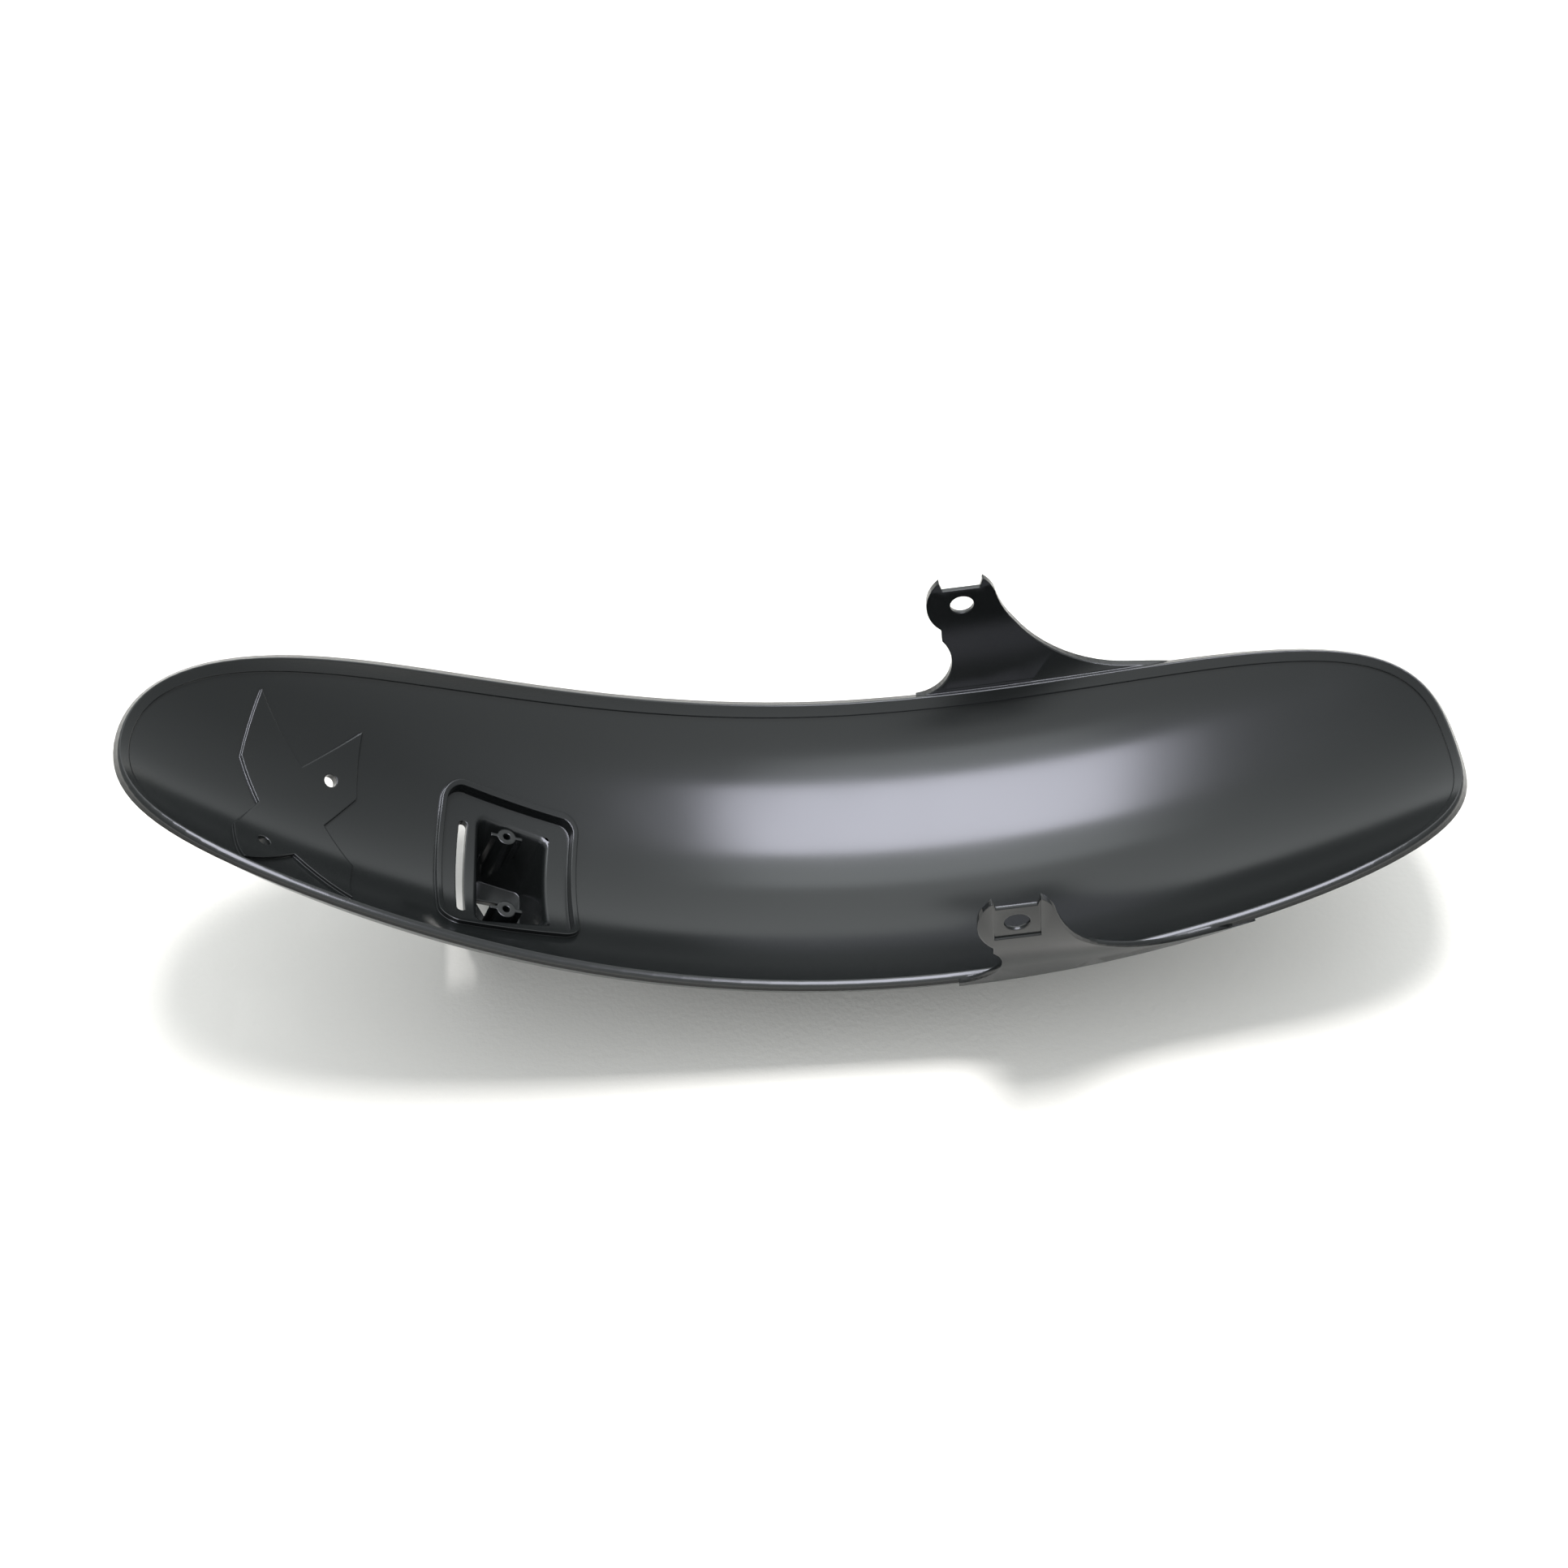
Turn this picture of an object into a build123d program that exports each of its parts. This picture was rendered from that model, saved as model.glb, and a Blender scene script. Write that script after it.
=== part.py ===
"""Motorcycle front mudguard, one plastic moulding, lying on its back with the hollow up.

The frame stands on the floor under the middle of the part: X runs from the nose to
the tail, Y across, Z up. The hollow is turned round the wheel axle, which runs
across the part above it. All sizes are in millimetres and angles in degrees.
"""
import os
from math import asin, atan2, cos, degrees, hypot, radians, sin, sqrt, tan

from build123d import *

# Hollow: a layer turned round the wheel axle, tighter in section towards both ends
wheel_clearance = 361.3
wall = 2.5
crown_radius = 77.7
nose_radius = 54.6
tail_radius = 70.3
nose_angle = -49.4
tail_angle = 39.1
section_sweep = 86.0
end_margin = 9.0
station_count = 6

# Top edge seen from above: a curve from the nose to the widest place and one to the tail,
# with a slight sweep at both tips and a slight fall beside the widest place
edge_length = 498.6
edge_width = 137.2
nose_from_middle = 249.0
axle_from_nose = 272.4
widest_from_nose = 282.6
nose_tip_pull = 57.0
nose_flank_pull = 175.6
tail_flank_pull = 199.7
tail_tip_pull = 39.5
tip_sweep = 0.3
flank_fall = 0.3

# Rolled rim along the whole edge
rim_width = 2.6
rim_inside = 0.8
rim_outside = 0.8

# Mounting tabs, one on each side, drawn in a side view from the bolt hole
tab_hole_x = 67.7
tab_hole_z = 91.6
tab_spacing = 157.6
tab_tilt = 5.8
tab_thickness = 2.6
tab_bore = 9.6
pad_half_length = 14.4
pad_half_height = 17.3
notch_floor = 8.8
notch_floor_width = 15.0
notch_mouth_width = 19.5
bend_below_hole = 13.2
web_edge = 9.0
web_top = 3.0
neck_radius = 16.0
neck_ahead = 21.7
neck_below = 28.5
sweep_radius = 52.0
sweep_behind = 64.8
sweep_above = 14.9
web_tail = 92.0
root_below_hole = 47.0
root_tilt = 8.4
nut_seat_width = 17.0
nut_seat_below_hole = 8.5
nut_seat_depth = 0.9

# Cross-shaped stiffening pad near the nose, with two screw holes
cross_angle = -37.5
cross_thickness = 1.3
cross_tip_half = 40.0
cross_front_tip = 24.8
cross_rear_tip = 19.3
cross_corner_half = 16.3
cross_front_corner = 24.7
cross_rear_corner = 24.3
cross_front_waist = 14.6
cross_rear_waist = 12.6
cross_notch_half = 21.0
cross_hole = 5.2
cross_hole_turn = 2.0
cross_hole_across = 20.2

# Pocket with a hollow plinth below it, a slot and two screw bosses
pocket_angle = -23.5
pocket_half_length = 26.5
pocket_front_half = 33.4
pocket_rear_half = 27.2
pocket_corner = 6.0
pocket_depth = 2.4
lip_height = 2.0
lip_width = 2.2
well_ahead = 12.3
well_behind = 17.0
well_front_half = 26.2
well_rear_half = 21.8
well_corner = 3.0
well_front_draft = 13.0
well_rear_draft = 5.0
well_side_draft = 19.0
well_mouth = 4.0
slot_ahead = 17.9
slot_width = 3.5
slot_length = 44.0
boss_spacing = 35.8
boss_diameter = 7.6
boss_bore = 3.0
boss_bore_depth = 14.0
boss_rise = 2.0
gusset_length = 13.0
gusset_thickness = 1.4
window_radius = 6.4
window_behind = 0.6
window_across = 1.8

# Worked-out places
nose_x = -nose_from_middle
tail_x = nose_x + edge_length
widest_x = nose_x + widest_from_nose
axle_x = nose_x + axle_from_nose
axle_z = wheel_clearance + wall
cut_height = axle_z
layer_reach = 12.0
pocket_sin = sin(radians(pocket_angle))
pocket_cos = cos(radians(pocket_angle))
rear_slope = tan(radians(well_rear_draft))
plinth_rear = well_behind + wall - well_mouth * rear_slope
plinth_level = axle_z - wheel_clearance * pocket_cos + plinth_rear * pocket_sin
plinth_depth = plinth_level / (pocket_cos + rear_slope * pocket_sin)


def section_radius(angle):
    """Radius of the cross-section at an angle round the axle, nose side negative."""
    if angle < 0:
        return crown_radius - (crown_radius - nose_radius) * (angle / nose_angle) ** 2
    return crown_radius - (crown_radius - tail_radius) * (angle / tail_angle) ** 2


def layer(inner, outer):
    """Layer of the hollow between two offsets from its inner face, outwards positive."""
    first = nose_angle - end_margin
    step = (tail_angle + end_margin - first) / (station_count - 1)
    with BuildPart() as band:
        for index in range(station_count):
            angle = first + index * step
            along = (cos(radians(angle)), 0, sin(radians(angle)))
            radius = section_radius(angle)
            centre = (0, radius - wheel_clearance)
            start = 270 - section_sweep
            with BuildSketch(Plane((axle_x, 0, axle_z), x_dir=(0, 1, 0), z_dir=along)):
                with BuildLine():
                    low = CenterArc(centre, radius + inner, start, 2 * section_sweep)
                    high = CenterArc(centre, radius + outer, start, 2 * section_sweep)
                    Line(low @ 0, high @ 0)
                    Line(low @ 1, high @ 1)
                make_face()
        loft()
    return band.part


def plan_outline(margin):
    """Top edge of the part seen from above, drawn in by a margin."""
    half = edge_width / 2 - margin
    with BuildSketch(Plane.XY.offset(-layer_reach)) as shape:
        with BuildLine():
            front = Bezier(
                (nose_x + margin, 0),
                (nose_x + margin + tip_sweep, nose_tip_pull - margin),
                (widest_x - nose_flank_pull, half - flank_fall),
                (widest_x, half),
            )
            Bezier(
                front @ 1,
                (widest_x + tail_flank_pull, half - flank_fall),
                (tail_x - margin - tip_sweep, tail_tip_pull - margin),
                (tail_x - margin, 0),
            )
            mirror(about=Plane.XZ)
        make_face()
    return shape.sketch


def radial_plane(angle, depth):
    """Plane facing the axle at a depth below the hollow: x to the tail, y across."""
    turn = radians(angle)
    reach = wheel_clearance + depth
    origin = (axle_x + reach * sin(turn), 0, axle_z - reach * cos(turn))
    return Plane(origin, x_dir=(cos(turn), 0, sin(turn)), z_dir=(-sin(turn), 0, cos(turn)))


def wall_plane(angle, across):
    """Plane in the middle of a section, facing square to the wall at a place across it."""
    turn = radians(angle)
    radius = section_radius(angle)
    lean = asin(across / radius)
    reach = wheel_clearance - radius
    origin = (axle_x + reach * sin(turn), 0, axle_z - reach * cos(turn))
    return Plane(origin, z_dir=(sin(turn) * cos(lean), sin(lean), -cos(turn) * cos(lean)))


def tab_level(drop, tilt):
    """Plane below the bolt hole, tilted along the tab: x to the tail, y across."""
    turn = radians(tilt)
    origin = (tab_hole_x, 0, tab_hole_z - drop)
    return Plane(origin, x_dir=(cos(turn), 0, sin(turn)), z_dir=(-sin(turn), 0, cos(turn)))


def tab_side(half_span):
    """Side-view plane through the bolt hole: x to the tail, y up along the tab."""
    turn = radians(tab_tilt)
    origin = (tab_hole_x, half_span, tab_hole_z)
    return Plane(origin, x_dir=(cos(turn), 0, sin(turn)), z_dir=(0, -1, 0))


def rim_half_span(along):
    """Half width of the outside of the rim at a place along the root of the tab."""
    x = tab_hole_x + along * cos(radians(root_tilt)) - axle_x
    drop = axle_z - tab_hole_z + root_below_hole - along * sin(radians(root_tilt))
    radius = section_radius(degrees(atan2(x, drop)))
    rise = hypot(x, drop) - wheel_clearance + radius
    return sqrt((radius + wall + rim_outside) ** 2 - rise**2)


def pocket_outline(margin):
    """Outline of the pocket's sunk plate with round corners, grown by a margin."""
    end = pocket_half_length + margin
    front_half = pocket_front_half + margin
    rear_half = pocket_rear_half + margin
    with BuildSketch(radial_plane(pocket_angle, 0)) as shape:
        with BuildLine():
            Polyline(
                (-end, -front_half),
                (end, -rear_half),
                (end, rear_half),
                (-end, front_half),
                close=True,
            )
        make_face()
        fillet(shape.vertices(), pocket_corner + margin)
    return shape.sketch


def well_block(margin, bottom):
    """Drafted block of the pocket's well down to a depth, grown by a margin."""
    mouth = radial_plane(pocket_angle, -well_mouth)
    along = Axis(mouth.origin, mouth.x_dir)
    front = -well_ahead - margin
    rear = well_behind + margin
    front_half = well_front_half + margin
    rear_half = well_rear_half + margin
    with BuildPart() as block:
        with BuildSketch(mouth):
            with BuildLine():
                Polyline(
                    (front, -front_half),
                    (rear, -rear_half),
                    (rear, rear_half),
                    (front, front_half),
                    close=True,
                )
            make_face()
        extrude(amount=-well_mouth - bottom)
        sides = block.faces() - block.faces().filter_by(mouth) - block.faces().filter_by(along)
        draft(sides, neutral_plane=mouth, angle=-well_side_draft)
        draft(block.faces().sort_by(along)[0], neutral_plane=mouth, angle=-well_front_draft)
        draft(block.faces().sort_by(along)[-1], neutral_plane=mouth, angle=-well_rear_draft)
        caps = block.faces().filter_by(mouth)
        fillet(block.edges() - caps.edges(), well_corner + margin)
    return block.part


# Mounting tab on the far side: a web that leans out from the wall and an upright pad
root_front = -neck_ahead - tab_thickness
root_rear = web_tail + tab_thickness
root_middle = (root_front + root_rear) / 2
root_places = (root_front, root_middle, root_rear)
root_inner = [(along, rim_half_span(along) - tab_thickness / 2) for along in root_places]
root_outer = [(along, rim_half_span(along) + tab_thickness / 2) for along in root_places]
with BuildPart() as tab:
    with BuildSketch(tab_level(root_below_hole, root_tilt)):
        with BuildLine():
            inner_edge = ThreePointArc(*root_inner)
            outer_edge = ThreePointArc(*root_outer)
            Line(inner_edge @ 0, outer_edge @ 0)
            Line(inner_edge @ 1, outer_edge @ 1)
        make_face()
    with BuildSketch(tab_level(bend_below_hole, tab_tilt)) as bend:
        with Locations((root_middle, tab_spacing / 2)):
            Rectangle(root_rear - root_front, tab_thickness)
    loft(ruled=True)
    extrude(bend.sketch, amount=bend_below_hole + pad_half_height)
    with BuildSketch(tab_side(0)):
        Ellipse(pad_half_length, pad_half_height)
        with BuildLine():
            Polyline(
                (-web_edge, web_top),
                (-web_edge, -neck_below),
                (-neck_ahead, -neck_below),
                (-neck_ahead, -2 * root_below_hole),
                (web_tail, -2 * root_below_hole),
                (web_tail, sweep_above - sweep_radius),
                (sweep_behind, sweep_above - sweep_radius),
                (sweep_behind, web_top),
                close=True,
            )
        make_face()
        with Locations((-neck_ahead, -neck_below)):
            Circle(neck_radius, mode=Mode.SUBTRACT)
        with Locations((sweep_behind, sweep_above)):
            Circle(sweep_radius, mode=Mode.SUBTRACT)
        with BuildLine():
            Polyline(
                (-notch_floor_width / 2, notch_floor),
                (notch_floor_width / 2, notch_floor),
                (notch_mouth_width / 2, pad_half_height),
                (-notch_mouth_width / 2, pad_half_height),
                close=True,
            )
        make_face(mode=Mode.SUBTRACT)
        Circle(tab_bore / 2, mode=Mode.SUBTRACT)
    extrude(amount=-tab_spacing, mode=Mode.INTERSECT)
    with BuildSketch(tab_side((tab_spacing + tab_thickness) / 2)):
        with Locations((0, (pad_half_height - nut_seat_below_hole) / 2)):
            Rectangle(nut_seat_width, pad_half_height + nut_seat_below_hole)
    extrude(amount=nut_seat_depth, mode=Mode.SUBTRACT)

# Cross-shaped pad, trimmed from its own layer
with BuildPart() as cross:
    add(layer(-cross_thickness, wall / 2))
    with BuildSketch(radial_plane(cross_angle, 0)):
        with BuildLine():
            Polyline(
                (-cross_front_waist, 0),
                (-cross_front_corner, cross_corner_half),
                (-cross_front_tip, cross_tip_half),
                (0, cross_notch_half),
                (cross_rear_tip, cross_tip_half),
                (cross_rear_corner, cross_corner_half),
                (cross_rear_waist, 0),
            )
            mirror(about=Plane.XZ)
        make_face()
    extrude(amount=2 * layer_reach, both=True, mode=Mode.INTERSECT)

# Pocket: a raised lip with a sunk plate inside it, trimmed from their own layers
with BuildPart() as pocket:
    add(layer(-lip_height, pocket_depth + wall))
    extrude(pocket_outline(lip_width), amount=2 * layer_reach, both=True, mode=Mode.INTERSECT)

with BuildPart() as pocket_room:
    add(layer(-layer_reach, pocket_depth))
    extrude(pocket_outline(0), amount=2 * layer_reach, both=True, mode=Mode.INTERSECT)

# Plinth under the plate, deep enough to stand on the floor that the crown stands on
with BuildPart() as plinth:
    add(well_block(wall, plinth_depth))
    add(layer(-layer_reach, pocket_depth + wall / 2), mode=Mode.SUBTRACT)

# Screw bosses with gussets that stand in the well
with BuildPart() as bosses:
    with BuildSketch(radial_plane(pocket_angle, plinth_depth)):
        with GridLocations(0, boss_spacing, 1, 2):
            Circle(boss_diameter / 2)
            Rectangle(gusset_length, gusset_thickness)
    extrude(amount=plinth_depth + boss_rise)
    add(well_block(wall / 2, plinth_depth - wall / 2), mode=Mode.INTERSECT)

# Shell and rim: the inner face is trimmed to the edge and thickened square to itself
with BuildPart() as shell_blank:
    add(layer(0, wall))
    extrude(plan_outline(rim_width / 2), amount=cut_height, mode=Mode.INTERSECT)

with BuildPart() as rim_blank:
    add(layer(-rim_inside, wall))
    extrude(plan_outline(0), amount=cut_height, mode=Mode.INTERSECT)
    extrude(plan_outline(rim_width), amount=cut_height, mode=Mode.SUBTRACT)

shell_face = shell_blank.faces().sort_by(SortBy.AREA)[-1]
rim_face = rim_blank.faces().sort_by(SortBy.AREA)[-1]
with BuildPart() as mudguard:
    thicken(shell_face, amount=-wall)
    thicken(rim_face, amount=-rim_inside - wall - rim_outside)
    add(tab.part)
    mirror(tab.part, about=Plane.XZ)
    add(cross.part)
    add(pocket.part)
    add(pocket_room.part, mode=Mode.SUBTRACT)
    add(plinth.part)
    add(well_block(0, plinth_depth - wall), mode=Mode.SUBTRACT)
    add(bosses.part)
    with BuildSketch(radial_plane(pocket_angle, -boss_rise)):
        with GridLocations(0, boss_spacing, 1, 2):
            Circle(boss_bore / 2)
    extrude(amount=-boss_bore_depth, mode=Mode.SUBTRACT)
    with BuildSketch(radial_plane(pocket_angle, 2 * pocket_depth + wall)):
        with Locations((-slot_ahead, 0)):
            SlotOverall(slot_length, slot_width, rotation=90)
    extrude(amount=layer_reach, mode=Mode.SUBTRACT)
    with BuildSketch(radial_plane(pocket_angle, plinth_depth + wall)):
        with Locations((window_behind, window_across)):
            RegularPolygon(window_radius, 3, rotation=-90)
    extrude(amount=2 * wall, mode=Mode.SUBTRACT)
    with BuildSketch(
        wall_plane(cross_angle + cross_hole_turn, cross_hole_across),
        wall_plane(cross_angle - cross_hole_turn, -cross_hole_across),
    ):
        Circle(cross_hole / 2)
    extrude(amount=crown_radius + layer_reach, mode=Mode.SUBTRACT)

mudguard.part.label = "mudguard"
os.makedirs("parts", exist_ok=True)
export_step(mudguard.part, "parts/mudguard.step")
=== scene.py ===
"""Looks for the motorcycle front mudguard: one dark plastic moulding on a pale floor.

Lengths are in metres, in the frame of the part. Colours are linear.
"""
from math import radians

import bmesh
import bpy
import numpy as np
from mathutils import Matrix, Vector


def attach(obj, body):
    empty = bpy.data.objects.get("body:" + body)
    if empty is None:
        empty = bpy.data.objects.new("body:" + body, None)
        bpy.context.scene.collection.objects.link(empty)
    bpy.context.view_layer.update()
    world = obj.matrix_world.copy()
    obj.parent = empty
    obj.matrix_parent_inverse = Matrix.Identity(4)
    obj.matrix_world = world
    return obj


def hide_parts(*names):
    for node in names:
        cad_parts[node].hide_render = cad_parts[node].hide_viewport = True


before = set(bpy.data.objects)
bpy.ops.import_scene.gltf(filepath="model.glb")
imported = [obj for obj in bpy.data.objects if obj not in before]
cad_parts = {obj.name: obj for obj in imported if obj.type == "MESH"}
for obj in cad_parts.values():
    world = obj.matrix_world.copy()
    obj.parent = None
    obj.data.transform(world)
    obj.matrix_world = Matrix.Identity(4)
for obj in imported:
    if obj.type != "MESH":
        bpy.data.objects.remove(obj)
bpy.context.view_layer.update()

# Photo camera, with its lens and sensor in millimetres
CAMERA = Vector((-0.0487, -0.5234, 0.7250))
FORWARD = Vector((0.0468, 0.6292, -0.7758))
LENS = 50.0
SENSOR = 36.0
CLIP_START = 0.01

# The hollow's form, as in the part: a section turned round the wheel axle
AXLE_X = 0.0234
AXLE_Z = 0.3638
CLEARANCE = 0.3613
CROWN_RADIUS = 0.0777
NOSE_RADIUS = 0.0546
TAIL_RADIUS = 0.0703
NOSE_ANGLE = radians(-49.4)
TAIL_ANGLE = radians(39.1)

# Points closer than this are joined, edges sharper than this stay sharp, and facets
# that face within this angle of the hollow's own direction are shaded with it
WELD_DISTANCE = 2e-6
SHARP_ANGLE = radians(40.0)
LEVEL_ANGLE = radians(12.0)

# The pocket's well mouth: where it lies, how its edge is found and the round on it
POCKET_DEPTH = 0.0024
POCKET_SLACK = 0.00012
MOUTH_FRONT = -0.133
MOUTH_REAR = -0.104
MOUTH_ANGLE = radians(30.0)
MOUTH_ROUND = 0.0022
MOUTH_SEGMENTS = 4
ROUND_PROFILE = 0.5

# The rim's edge: its two sides as offsets from the hollow's inner face, how its facets
# are found, and how far it is shaded round towards its inside and its outside
RIM_INSIDE = -0.0008
RIM_OUTSIDE = 0.0033
INSIDE_SLACK = 0.00015
OUTSIDE_SLACK = 0.0015
TIP_X = 0.215
FLANK_LEAN = 0.55
EDGE_ON_LIMIT = 0.5
UPWARD_LIMIT = 0.2
INWARD_TURN = radians(25.0)
OUTWARD_TURN = radians(65.0)

# Plastic: its plain look, then the rounding that the shader gives every edge
PLASTIC_COLOR = (0.008, 0.009, 0.0092)
PLASTIC_ROUGHNESS = 0.19
PLASTIC_SPECULAR = 0.5
EDGE_ROUND = 0.0008
EDGE_SAMPLES = 8

# Moulded grain, uneven gloss and faint clouds in the plastic
GRAIN_SCALE = 1400.0
GRAIN_DETAIL = 2.0
GRAIN_STRENGTH = 0.05
GRAIN_DEPTH = 0.0001
GLOSS_SCALE = 22.0
GLOSS_ROUGHNESS = (0.15, 0.23)
CLOUD_SCALE = 9.0
CLOUD_DARK = (0.006, 0.0068, 0.007)
CLOUD_PALE = (0.010, 0.0112, 0.0114)
SOFT_DETAIL = 1.0

# Rubbed edges: their colour and most share of it, and the cosines of the turn between
# facet and rounding at which they start and are full
RUBBED_COLOR = (0.030, 0.032, 0.033)
RUBBED_SHARE = 0.6
RUBBED_START = 0.98
RUBBED_FULL = 0.75

# Floor: a wide pale sheet with a fine tooth
FLOOR_SIZE = 14.0
FLOOR_MIDDLE = (0.0, 3.0, 0.0)
FLOOR_COLOR = (0.875, 0.85, 0.815)
FLOOR_ROUGHNESS = 0.9
FLOOR_SPECULAR = 0.1
TOOTH_SCALE = 420.0
TOOTH_DETAIL = 3.0
TOOTH_STRENGTH = 0.45
TOOTH_DEPTH = 0.0005

# Lights: places, sizes along X and Y, and powers in watts
PART_FOOT = (0.0, 0.0, 0.0)
BOX_PLACE = (0.0, -0.30, 1.20)
BOX_SIZE = (0.72, 0.92)
BOX_POWER = 23.5
BOX_COLOR = (0.86, 0.86, 1.0)
GLOW_PLACE = (0.0, -0.45, 1.25)
GLOW_TARGET = (0.0, -0.45, 0.0)
GLOW_SIZE = (0.72, 2.2)
GLOW_POWER = 9.6
GLOW_COLOR = (0.90, 0.96, 1.0)
KEY_PLACE = (0.0, 0.25, 1.55)
KEY_SIZE = (0.45, 0.40)
KEY_POWER = 23.0
KEY_COLOR = (1.0, 1.0, 1.0)

# Surround: its strength falls from the middle to both ends, and rises from front to back.
# The limits are parts of the direction, along X either way and along Y
SURROUND_COLOR = (0.95, 0.99, 1.0)
MIDDLE_STRENGTH = 1.42
END_STRENGTH = 0.60
MIDDLE_LIMIT = 0.15
END_LIMIT = 0.75
FRONT_SHARE = 0.92
BACK_SHARE = 1.30
FRONT_LIMIT = -0.2
BACK_LIMIT = 0.6


def hollow_frame(points):
    """Offset from the hollow's inner face, outwards positive, and the outward direction."""
    x = points[:, 0] - AXLE_X
    drop = AXLE_Z - points[:, 2]
    angle = np.arctan2(x, drop)
    end_angle = np.where(angle < 0, NOSE_ANGLE, TAIL_ANGLE)
    loss = np.where(angle < 0, CROWN_RADIUS - NOSE_RADIUS, CROWN_RADIUS - TAIL_RADIUS)
    radius = CROWN_RADIUS - loss * (angle / end_angle) ** 2
    slope = -2.0 * loss * angle / end_angle**2
    reach = np.hypot(x, drop)
    rise = reach - CLEARANCE + radius
    length = np.hypot(rise, points[:, 1])
    down = rise / length
    side = points[:, 1] / length
    along = -slope * (1.0 - down) / reach
    radial = np.stack((np.sin(angle), np.zeros_like(angle), -np.cos(angle)), axis=1)
    forward = np.stack((np.cos(angle), np.zeros_like(angle), np.sin(angle)), axis=1)
    across = np.array((0.0, 1.0, 0.0))
    normal = radial * down[:, None] + forward * along[:, None] + across * side[:, None]
    return length - radius, normal / np.linalg.norm(normal, axis=1)[:, None]


def vectors(items, name):
    """One vector property of every item, a row for each."""
    values = np.empty(len(items) * 3)
    items.foreach_get(name, values)
    return values.reshape(-1, 3)


def whole_numbers(items, name):
    """One whole-number property of every item."""
    values = np.empty(len(items), dtype=np.int64)
    items.foreach_get(name, values)
    return values


def weld(mesh):
    """Join the copied facets along their shared edges and drop the normals they came with."""
    if "custom_normal" in mesh.attributes:
        mesh.attributes.remove(mesh.attributes["custom_normal"])
    work = bmesh.new()
    work.from_mesh(mesh)
    bmesh.ops.remove_doubles(work, verts=work.verts, dist=WELD_DISTANCE)
    work.to_mesh(mesh)
    work.free()


def is_mouth_edge(edge):
    """Whether an edge is one where the pocket's floor turns down into its well."""
    ends = np.array([vertex.co for vertex in edge.verts])
    if ends[:, 0].min() < MOUTH_FRONT or ends[:, 0].max() > MOUTH_REAR:
        return False
    offset, _ = hollow_frame(ends)
    on_floor = np.abs(offset - POCKET_DEPTH).max() < POCKET_SLACK
    return on_floor and edge.is_manifold and edge.calc_face_angle_signed() > MOUTH_ANGLE


def round_mouth(mesh):
    """Round the edge of the well's mouth."""
    work = bmesh.new()
    work.from_mesh(mesh)
    bmesh.ops.bevel(
        work,
        geom=[edge for edge in work.edges if is_mouth_edge(edge)],
        offset=MOUTH_ROUND,
        offset_type="OFFSET",
        segments=MOUTH_SEGMENTS,
        profile=ROUND_PROFILE,
        affect="EDGES",
        clamp_overlap=False,
    )
    work.to_mesh(mesh)
    work.free()


def smooth_normals(mesh):
    """Smooth shading: the hollow's own direction along its faces, and a round edge on the rim."""
    mesh.shade_smooth()
    mesh.set_sharp_from_angle(angle=SHARP_ANGLE)
    vertex_of = whole_numbers(mesh.loops, "vertex_index")
    sizes = whole_numbers(mesh.polygons, "loop_total")
    place = vectors(mesh.vertices, "co")[vertex_of]
    facet = np.repeat(vectors(mesh.polygon_normals, "vector"), sizes, axis=0)
    corners = vectors(mesh.corner_normals, "vector")
    offset, outward = hollow_frame(place)
    match = np.sum(facet * outward, axis=1)

    level = np.abs(match) > np.cos(LEVEL_ANGLE)
    corners[level] = outward[level] * np.sign(match[level])[:, None]

    outer = (np.abs(outward[:, 1]) > FLANK_LEAN) | (np.abs(place[:, 0]) > TIP_X)
    in_rim = (offset > RIM_INSIDE - INSIDE_SLACK) & (offset < RIM_OUTSIDE + OUTSIDE_SLACK)
    edge_on = outer & in_rim & (np.abs(match) < EDGE_ON_LIMIT) & (facet[:, 2] > UPWARD_LIMIT)
    first = np.cumsum(sizes) - sizes
    rim = np.repeat(np.logical_and.reduceat(edge_on, first), sizes)
    share = np.clip((offset - RIM_INSIDE) / (RIM_OUTSIDE - RIM_INSIDE), 0.0, 1.0)
    turn = (share * (INWARD_TURN + OUTWARD_TURN) - INWARD_TURN)[:, None]
    rounded = facet * np.cos(turn) + outward * np.sin(turn)
    corners[rim] = rounded[rim]
    mesh.normals_split_custom_set(corners.tolist())


def new_material(name, base, roughness, specular):
    """New material with a plain shader: the material, its node tree and the shader."""
    material = bpy.data.materials.new(name)
    material.use_nodes = True
    shader = material.node_tree.nodes["Principled BSDF"]
    shader.inputs["Base Color"].default_value = (*base, 1.0)
    shader.inputs["Roughness"].default_value = roughness
    shader.inputs["Specular IOR Level"].default_value = specular
    return material, material.node_tree, shader


def noise(tree, scale, detail):
    """Noise in the object's own coordinates."""
    place = tree.nodes.new("ShaderNodeTexCoord")
    texture = tree.nodes.new("ShaderNodeTexNoise")
    texture.inputs["Scale"].default_value = scale
    texture.inputs["Detail"].default_value = detail
    tree.links.new(place.outputs["Object"], texture.inputs["Vector"])
    return texture.outputs["Fac"]


def ramp(tree, source, low, high, start, end):
    """Values from low to high as the source goes from start to end."""
    span = tree.nodes.new("ShaderNodeMapRange")
    span.inputs["From Min"].default_value = start
    span.inputs["From Max"].default_value = end
    span.inputs["To Min"].default_value = low
    span.inputs["To Max"].default_value = high
    tree.links.new(source, span.inputs["Value"])
    return span.outputs["Result"]


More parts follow.
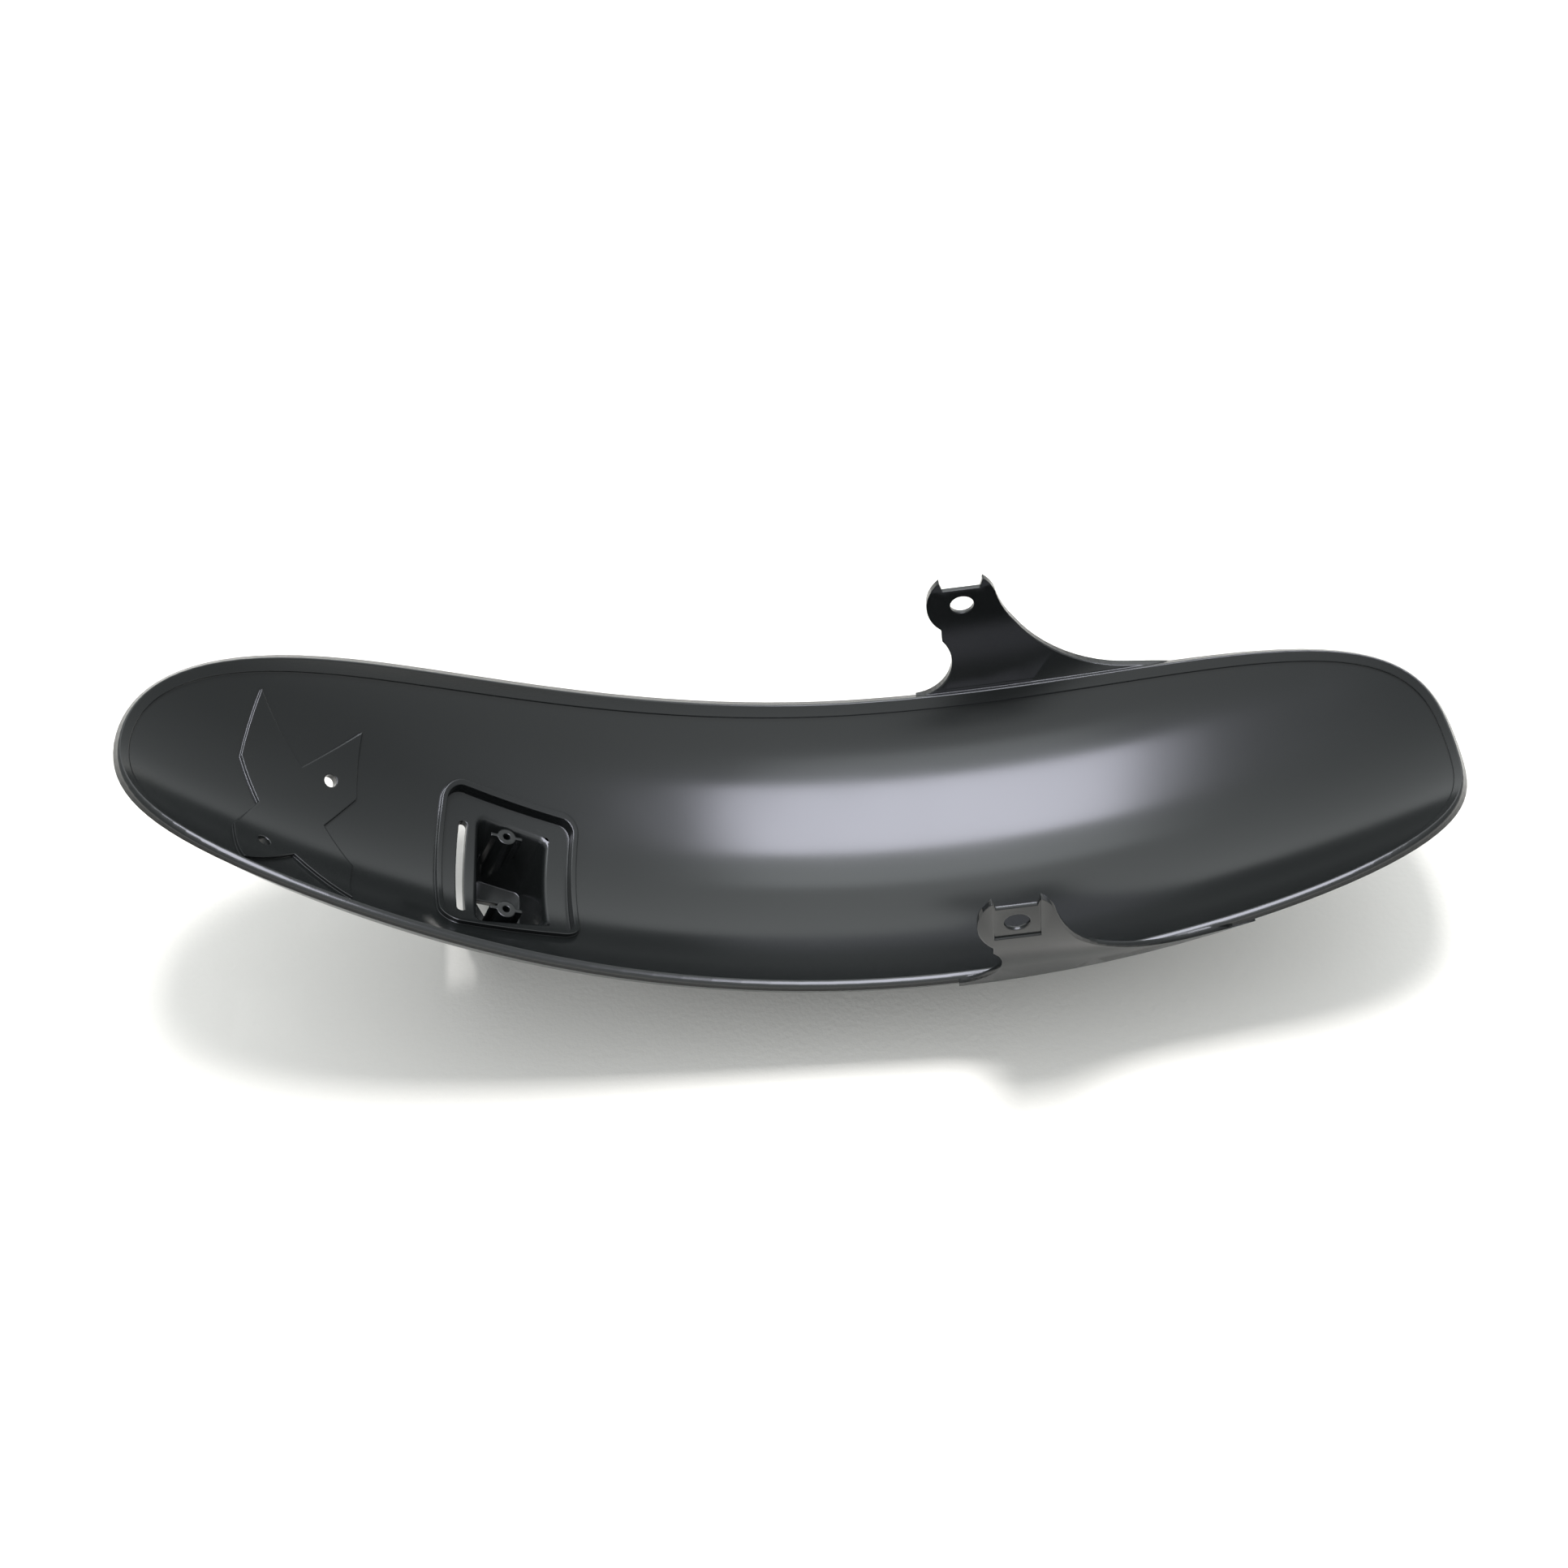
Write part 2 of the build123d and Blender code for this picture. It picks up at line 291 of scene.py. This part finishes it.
def mix_color(tree, factor, low, high):
    """Mix of two colours, each a constant or another node's output."""
    blend = tree.nodes.new("ShaderNodeMix")
    blend.data_type = "RGBA"
    tree.links.new(factor, blend.inputs["Factor"])
    for name, value in (("A", low), ("B", high)):
        socket = next(i for i in blend.inputs if i.name == name and i.type == "RGBA")
        if isinstance(value, tuple):
            socket.default_value = (*value, 1.0)
        else:
            tree.links.new(value, socket)
    return next(o for o in blend.outputs if o.type == "RGBA")


def relief(tree, shader, height, strength, depth):
    """Fine relief on a shader's surface: the bump node."""
    bump = tree.nodes.new("ShaderNodeBump")
    bump.inputs["Strength"].default_value = strength
    bump.inputs["Distance"].default_value = depth
    tree.links.new(height, bump.inputs["Height"])
    tree.links.new(bump.outputs["Normal"], shader.inputs["Normal"])
    return bump


def plastic_material():
    """Dark grey plastic with a satin sheen, a fine grain, faint clouds and paler, rubbed edges."""
    material, tree, shader = new_material(
        "plastic", PLASTIC_COLOR, PLASTIC_ROUGHNESS, PLASTIC_SPECULAR
    )
    rounding = tree.nodes.new("ShaderNodeBevel")
    rounding.samples = EDGE_SAMPLES
    rounding.inputs["Radius"].default_value = EDGE_ROUND
    grain = relief(
        tree, shader, noise(tree, GRAIN_SCALE, GRAIN_DETAIL), GRAIN_STRENGTH, GRAIN_DEPTH
    )
    tree.links.new(rounding.outputs["Normal"], grain.inputs["Normal"])

    gloss = ramp(tree, noise(tree, GLOSS_SCALE, SOFT_DETAIL), *GLOSS_ROUGHNESS, 0.0, 1.0)
    tree.links.new(gloss, shader.inputs["Roughness"])

    cloud = mix_color(tree, noise(tree, CLOUD_SCALE, SOFT_DETAIL), CLOUD_DARK, CLOUD_PALE)
    surface = tree.nodes.new("ShaderNodeNewGeometry")
    turn = tree.nodes.new("ShaderNodeVectorMath")
    turn.operation = "DOT_PRODUCT"
    tree.links.new(rounding.outputs["Normal"], turn.inputs[0])
    tree.links.new(surface.outputs["Normal"], turn.inputs[1])
    edge = ramp(tree, turn.outputs["Value"], 0.0, RUBBED_SHARE, RUBBED_START, RUBBED_FULL)
    tree.links.new(mix_color(tree, edge, cloud, RUBBED_COLOR), shader.inputs["Base Color"])
    return material


def floor_material():
    """Matt pale paint with a fine tooth."""
    material, tree, shader = new_material(
        "floor_paint", FLOOR_COLOR, FLOOR_ROUGHNESS, FLOOR_SPECULAR
    )
    relief(tree, shader, noise(tree, TOOTH_SCALE, TOOTH_DETAIL), TOOTH_STRENGTH, TOOTH_DEPTH)
    return material


def aim(item, direction):
    """Turn a light or a camera so that it looks along a direction."""
    item.rotation_euler = direction.to_track_quat("-Z", "Y").to_euler()


def area_light(name, place, target, size, power, color):
    """Rectangular soft light that faces a target."""
    lamp = bpy.data.lights.new(name, "AREA")
    lamp.shape = "RECTANGLE"
    lamp.size, lamp.size_y = size
    lamp.energy = power
    lamp.color = color
    item = bpy.data.objects.new(name, lamp)
    item.location = place
    aim(item, Vector(target) - Vector(place))
    bpy.context.collection.objects.link(item)
    return item


def math_node(tree, operation, *sources):
    """Result of one operation on other nodes' outputs."""
    node = tree.nodes.new("ShaderNodeMath")
    node.operation = operation
    for socket, source in zip(node.inputs, sources):
        tree.links.new(source, socket)
    return node.outputs["Value"]


# Skin: the moulding with rounded edges and smooth shading
skin_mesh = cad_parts["mudguard"].data.copy()
weld(skin_mesh)
round_mouth(skin_mesh)
smooth_normals(skin_mesh)
skin_mesh.materials.clear()
skin_mesh.materials.append(plastic_material())
skin = bpy.data.objects.new("mudguard_skin", skin_mesh)
bpy.context.collection.objects.link(skin)
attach(skin, "root")
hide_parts("mudguard")

# Floor
bpy.ops.mesh.primitive_plane_add(size=FLOOR_SIZE, location=FLOOR_MIDDLE)
floor = bpy.context.active_object
floor.name = "floor"
floor.data.materials.append(floor_material())

# Lights: a soft box and a wider glow that show only as a sheen, and a key from behind that
# shows only as light and shadow
box = area_light("overhead", BOX_PLACE, PART_FOOT, BOX_SIZE, BOX_POWER, BOX_COLOR)
box.visible_diffuse = False
glow = area_light("glow", GLOW_PLACE, GLOW_TARGET, GLOW_SIZE, GLOW_POWER, GLOW_COLOR)
glow.visible_diffuse = False
key = area_light("key", KEY_PLACE, PART_FOOT, KEY_SIZE, KEY_POWER, KEY_COLOR)
key.visible_glossy = False

# Surround: a pale studio, dimmer at both ends and brighter at the back
world = bpy.data.worlds.new("studio")
bpy.context.scene.world = world
world.use_nodes = True
tree = world.node_tree
background = tree.nodes["Background"]
background.inputs["Color"].default_value = (*SURROUND_COLOR, 1.0)
direction = tree.nodes.new("ShaderNodeTexCoord")
parts = tree.nodes.new("ShaderNodeSeparateXYZ")
tree.links.new(direction.outputs["Generated"], parts.inputs["Vector"])
endwise = math_node(tree, "ABSOLUTE", parts.outputs["X"])
by_end = ramp(tree, endwise, MIDDLE_STRENGTH, END_STRENGTH, MIDDLE_LIMIT, END_LIMIT)
by_back = ramp(tree, parts.outputs["Y"], FRONT_SHARE, BACK_SHARE, FRONT_LIMIT, BACK_LIMIT)
strength = math_node(tree, "MULTIPLY", by_end, by_back)
tree.links.new(strength, background.inputs["Strength"])

# Camera
camera_data = bpy.data.cameras.new("camera")
camera_data.lens = LENS
camera_data.sensor_width = SENSOR
camera_data.clip_start = CLIP_START
camera = bpy.data.objects.new("camera", camera_data)
camera.location = CAMERA
aim(camera, FORWARD)
bpy.context.collection.objects.link(camera)
bpy.context.scene.camera = camera
bpy.context.scene.view_settings.view_transform = "Standard"
